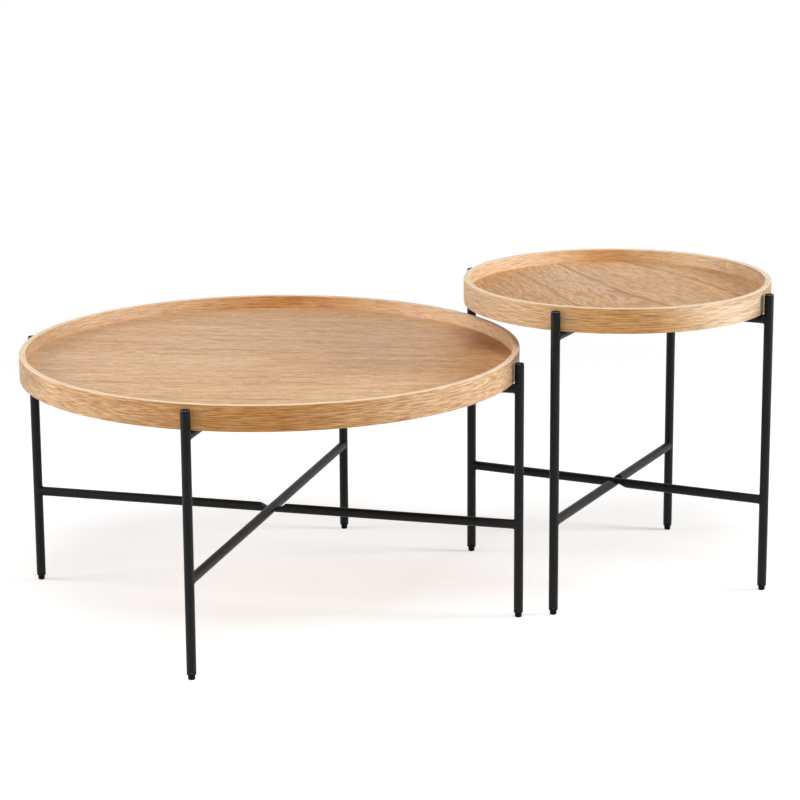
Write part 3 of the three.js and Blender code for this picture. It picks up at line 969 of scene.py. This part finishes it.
def pressed_tube(table):
    """A tube along X, pressed from above at its middle and coped at its ends.

    At angle a a ring starts as y = r cos a, z = r sin a. A ceiling lies just under the middle line at the
    lap and rises past the tube over a shoulder s from 0 to 1 as (1 - cos(pi s)) / 2. The height becomes
    the soft minimum -k log(exp(-z / k) + exp(-ceiling / k)), and the flanks swell a little.
    The ends lie at x = reach - root(r squared - y squared), on the leg's near side, plus a small bite.
    """
    radius = table.tube_radius
    angle = np.arange(TUBE_SIDES) * math.tau / TUBE_SIDES
    x = stations_along(table)[:, None]
    start = radius + LAP_SIDE_CLEARANCE
    share = np.clip((np.abs(x) - start) / SHOULDER_LENGTH, 0, 1)
    rise = (1 - np.cos(math.pi * share)) / 2
    ceiling = -LAP_GAP / 2 + (radius + EASES_ABOVE * LAP_EASE + LAP_GAP / 2) * rise
    z = -LAP_EASE * np.logaddexp(-radius * np.sin(angle) / LAP_EASE, -ceiling / LAP_EASE)
    y = radius * np.cos(angle) * (1 + FLANK_SWELL_SHARE * (1 - rise))
    body = np.stack([np.broadcast_to(x, y.shape), y, z], axis=-1)
    ring = radius * np.array(END_RING_SHARES)[:, None]
    y, z = ring * np.cos(angle), ring * np.sin(angle)
    x = table.leg_reach - np.sqrt(radius ** 2 - y ** 2) + COPE_BITE
    right = np.stack([x, y, z], axis=-1)
    left = right[::-1] * np.array([-1, 1, 1])
    return np.concatenate([left, body, right])


def quarter_turns(node, table):
    """0 for a tube that runs from left to right on its table, 1 for one that runs from front to back."""
    away = points_of(node) - table.middle
    end = away[np.hypot(away[:, 0], away[:, 1]).argmax()]
    return round((math.atan2(end[1], end[0]) - table.turn) / (math.pi / 2)) % 2


def add_crossing(table, name, height):
    """The lower tube of a crossing, pressed from above, and the upper one, which is rolled over."""
    pieces = []
    for layer, roll in (("under", 1), ("over", -1)):
        node = f"{name}_{layer}"
        rings = pressed_tube(table) * np.array([1, roll, roll])
        quarter = quarter_turns(f"{table.prefix}_{node}", table) * math.pi / 2
        surface = shell(turned(rings, quarter) + np.array([0, 0, height]))
        pieces.append(add_piece(f"{node}_tube", surface, table, steel, [node]))
    return pieces


for table in tables:
    describe(add_crossing(table, "stretcher", table.stretcher_height))
    describe(add_crossing(table, "top_bar", table.bar_height))

# %% [markdown]
# ## Welds
# Each coped end is welded to its leg all round, and the coat covers the bead. A torus would not follow
# the joint: two equal tubes that meet square cross along two half ellipses. So a small round section is
# carried along that curve, in the corner between both surfaces, with the slight waves of a weld.

# %% The weld beads
WELD_RADIUS = 1.5 * MILLIMETRE
WELD_SIDE_SHARE = 0.3
WELD_WAVES = 18
WELD_WAVE_SHARE = 0.07
WELD_STATIONS = 108
WELD_SIDES = 12
WELD_FLATNESS = 0.8
CORNER_EASE = 0.15


def weld_bead(table, height):
    """A closed bead round the joint of a tube along X and a leg.

    At angle a round the tube the curve is x = reach - r s, y = r cos a, z = r sin a, where s is |sin a|
    with its corners eased. The bead's section lies across the curve. One axis of it is the sum of the
    two surfaces' outward normals, (0, cos a, sin a) and (-s, cos a, 0), and the other is the curve's
    direction cross that one, so that the faces point outwards.
    """
    radius = table.tube_radius
    angle = np.arange(WELD_STATIONS) * math.tau / WELD_STATIONS
    sine, cosine = np.sin(angle), np.cos(angle)
    eased = np.sqrt(sine ** 2 + CORNER_EASE ** 2) / math.sqrt(1 + CORNER_EASE ** 2)
    zero = np.zeros_like(angle)
    curve = np.stack([table.leg_reach - radius * eased, radius * cosine, height + radius * sine], axis=-1)
    tangent = np.roll(curve, -1, axis=0) - np.roll(curve, 1, axis=0)
    tangent /= np.linalg.norm(tangent, axis=1, keepdims=True)
    outward = np.stack([zero, cosine, sine], axis=-1) + np.stack([-eased, cosine, zero], axis=-1)
    outward -= tangent * (outward * tangent).sum(axis=1, keepdims=True)
    outward /= np.linalg.norm(outward, axis=1, keepdims=True)
    sideways = np.cross(tangent, outward)
    size = WELD_RADIUS * (WELD_SIDE_SHARE + (1 - WELD_SIDE_SHARE) * np.abs(sine))
    size = (size * (1 + WELD_WAVE_SHARE * np.sin(WELD_WAVES * angle)))[:, None, None]
    around = (np.arange(WELD_SIDES) * math.tau / WELD_SIDES)[None, :, None]
    section = np.cos(around) * outward[:, None] * WELD_FLATNESS + np.sin(around) * sideways[:, None]
    return curve[:, None] + size * section


def add_welds(table, number, side):
    """The two beads of a leg: at its stretcher and at its top bar."""
    heights = (table.stretcher_height, table.bar_height)
    beads = [weld_bead(table, height) for height in heights]
    surface = joined([shell(turned(bead, number * math.pi / 2), looped=True) for bead in beads])
    return add_piece(f"welds_{side}", surface, table, steel)


welds = [add_welds(table, number, side) for table in tables for number, side in enumerate(SIDES)]
describe(welds[:2])

# %% [markdown]
# ## Screws
# Four screws hold each tray down from below, one near each end of the top bars. Only their pan heads
# show. A head is a row of rings like the rest, but its first rings follow a cross instead of a circle,
# so the recess for the driver is part of the same skin.

# %% The tray screws
SCREW_HEAD_RADIUS = 4.0 * MILLIMETRE
SCREW_HEAD_HEIGHT = 2.6 * MILLIMETRE
SCREW_HEAD_FLAT_SHARE = 0.62
SCREW_HEAD_ROUND_SHARE = 0.6
SCREW_SHANK_RADIUS = 2.0 * MILLIMETRE
SCREW_POINT_LENGTH = 3.0 * MILLIMETRE
SCREW_POINT_SHARE = 0.1
SCREW_SIDES = 64
CROSS_REACH = 2.3 * MILLIMETRE
# Two of the head's sides to each side of a bar of the cross, so that its corners fall on points.
CROSS_HALF_WIDTH = CROSS_REACH * math.tan(2 * math.tau / SCREW_SIDES)
CROSS_DEPTH = 1.5 * MILLIMETRE
# The cross narrows towards its floor: shares of its outline, each with a share of its depth.
CROSS_TAPER = [(0.35, 1.0), (0.9, 0.35), (1.0, 0.0)]
TINY = 1e-9


def cross_outline(angle):
    """The radius of a cross of two bars at each angle: a ray leaves it by the farther of their edges."""
    level, upright = np.abs(np.cos(angle)) + TINY, np.abs(np.sin(angle)) + TINY
    wide = np.minimum(CROSS_REACH / level, CROSS_HALF_WIDTH / upright)
    tall = np.minimum(CROSS_HALF_WIDTH / level, CROSS_REACH / upright)
    return np.maximum(wide, tall)


def screw_rings(table):
    """Rings from the floor of the cross, out over the pan head, and up the shank to the point."""
    angle = np.arange(SCREW_SIDES) * math.tau / SCREW_SIDES
    cross = cross_outline(angle)
    circle = np.ones_like(angle)
    bottom, top = table.screw_bottom, table.screw_top
    seat = bottom + SCREW_HEAD_HEIGHT
    flat = SCREW_HEAD_FLAT_SHARE * SCREW_HEAD_RADIUS
    round_size = np.array([SCREW_HEAD_RADIUS - flat, SCREW_HEAD_ROUND_SHARE * SCREW_HEAD_HEIGHT])
    pan = arc((0, 1), 1, -90, 0, ARC_STEPS) * round_size + (flat, bottom)
    rows = [(cross * share, bottom + CROSS_DEPTH * depth) for share, depth in CROSS_TAPER]
    rows += [(circle * radius, height) for radius, height in pan]
    rows += [(circle * SCREW_HEAD_RADIUS, seat), (circle * SCREW_SHANK_RADIUS, seat),
             (circle * SCREW_SHANK_RADIUS, top - SCREW_POINT_LENGTH),
             (circle * SCREW_POINT_SHARE * SCREW_SHANK_RADIUS, top)]
    radius = np.stack([row[0] for row in rows])
    height = np.array([row[1] for row in rows])[:, None] * circle
    return np.stack([radius * np.cos(angle), radius * np.sin(angle), height], axis=-1)


def add_tray_screw(table, number, side):
    """A tray screw at its reach along the bar of one side."""
    surface = shell(at_side(screw_rings(table), table.screw_reach, number))
    return add_piece(f"pan_screw_{side}", surface, table, zinc, [f"tray_screw_{side}"])


screws = [add_tray_screw(table, number, side) for table in tables for number, side in enumerate(SIDES)]
describe(screws[:1])

# %% [markdown]
# The bolts and nuts of the crossings are hidden inside the tubes. Their nodes have the right shape, so
# they stay as they are and only take the zinc finish.

# %% Finish the nodes that stay
kept = [node for name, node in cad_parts.items() if "crossing" in name]
for node in kept:
    node.data.materials.clear()
    node.data.materials.append(zinc)
print("kept nodes:", len(kept))

# %% [markdown]
# ## Floor, light and background
# The set stands on a white floor before a white background, in soft studio light from both sides and
# above. More lamp power could make the floor white, but it would bleach the oak too. So the floor is a
# pale diffuse surface that glows a little for the camera and for reflections only, and glows fully
# farther out. Near the tables it keeps their soft shadow.

# %% The floor
FLOOR_HALF = 30.0
FLOOR_DROP = 0.2 * MILLIMETRE
FLOOR_CLOUD = 0.6
SHADOW_ROOM = (0.9, 2.2)
FLOOR_GLOW = 0.45
WHITE = (1, 1, 1, 1)


def pale_floor():
    """White for the camera, with the soft shadows kept near the tables."""
    finish = Finish("pale_floor")
    seen = finish.seen_rays()
    cloud = finish.noise(finish.place(), FLOOR_CLOUD)
    paper = finish.mix(cloud, tone(228, 228, 228), tone(232, 232, 232))
    matt = finish.node("BsdfDiffuse", {}, {"Color": paper})
    glow = finish.node("Emission", {}, {"Color": WHITE, "Strength": seen * FLOOR_GLOW})
    near = finish.node("AddShader", {}, {0: matt, 1: glow})
    white = finish.node("Emission", {}, {"Color": WHITE, "Strength": seen})
    matt_and_white = finish.node("MixShader", {}, {0: seen, 1: matt, 2: white})
    away = finish.node("VectorMath", {"operation": "LENGTH"}, {0: finish.place()}, "Value")
    far = finish.rise(away, *SHADOW_ROOM)
    return finish.end(finish.node("MixShader", {}, {0: far, 1: near, 2: matt_and_white}))


floor_mesh = bpy.data.meshes.new("floor")
corner_signs = np.array([[-1, -1], [1, -1], [1, 1], [-1, 1]])
floor_points = np.column_stack([corner_signs * FLOOR_HALF, np.full(4, -FLOOR_DROP)])
floor_mesh.from_pydata(floor_points.tolist(), [], [[0, 1, 2, 3]])
floor_mesh.materials.append(pale_floor())
floor = bpy.data.objects.new("floor", floor_mesh)
bpy.context.scene.collection.objects.link(floor)
print("floor", 2 * FLOOR_HALF, "m wide")

# %% [markdown]
# The hoops are brightest at their sides and darkest in front, so most of the light has to come from the
# left and the right. Two square lamps stand there, and a third hangs high in front for the boards. A
# small one at the front left throws the narrow shadows that the front legs leave on the hoops, and the
# world adds a little from everywhere. A single lamp would leave one side of each table in the dark.

# %% The lights and the background
WORLD_STRENGTH = 0.15
LAMPS = {
    "left_softbox": {"place": (-3.3, 0.0, 1.3), "size": 1.5, "power": 58},
    "right_softbox": {"place": (3.3, 0.0, 1.3), "size": 1.0, "power": 89},
    "left_fill": {"place": (-2.7, -1.9, 1.4), "size": 0.9, "power": 11},
    "front_softbox": {"place": (0.0, -1.5, 3.2), "size": 2.2, "power": 64},
}
LAMP_TARGET = (0.0, 0.0, 0.35)


def add_lamp(name, place, size, power):
    """A square lamp that faces the tables."""
    data = bpy.data.lights.new(name, "AREA")
    data.size = size
    data.energy = power
    lamp = bpy.data.objects.new(name, data)
    bpy.context.scene.collection.objects.link(lamp)
    away = Vector(place) - Vector(LAMP_TARGET)
    lamp.matrix_world = Matrix.Translation(place) @ away.to_track_quat("Z", "Y").to_matrix().to_4x4()
    return lamp


def studio_world():
    """White where it is seen or mirrored, and a weak light on all else."""
    world = Finish("studio", bpy.data.worlds)
    reach = {"Value": world.seen_rays(), "To Min": WORLD_STRENGTH, "To Max": 1.0}
    strength = world.node("MapRange", {}, reach)
    background = world.node("Background", {}, {"Color": WHITE, "Strength": strength})
    return world.end(background, "OutputWorld")


for name, settings in LAMPS.items():
    add_lamp(name, **settings)

bpy.context.scene.world = studio_world()
bpy.context.scene.view_settings.view_transform = "Standard"
print("lamps:", list(LAMPS))
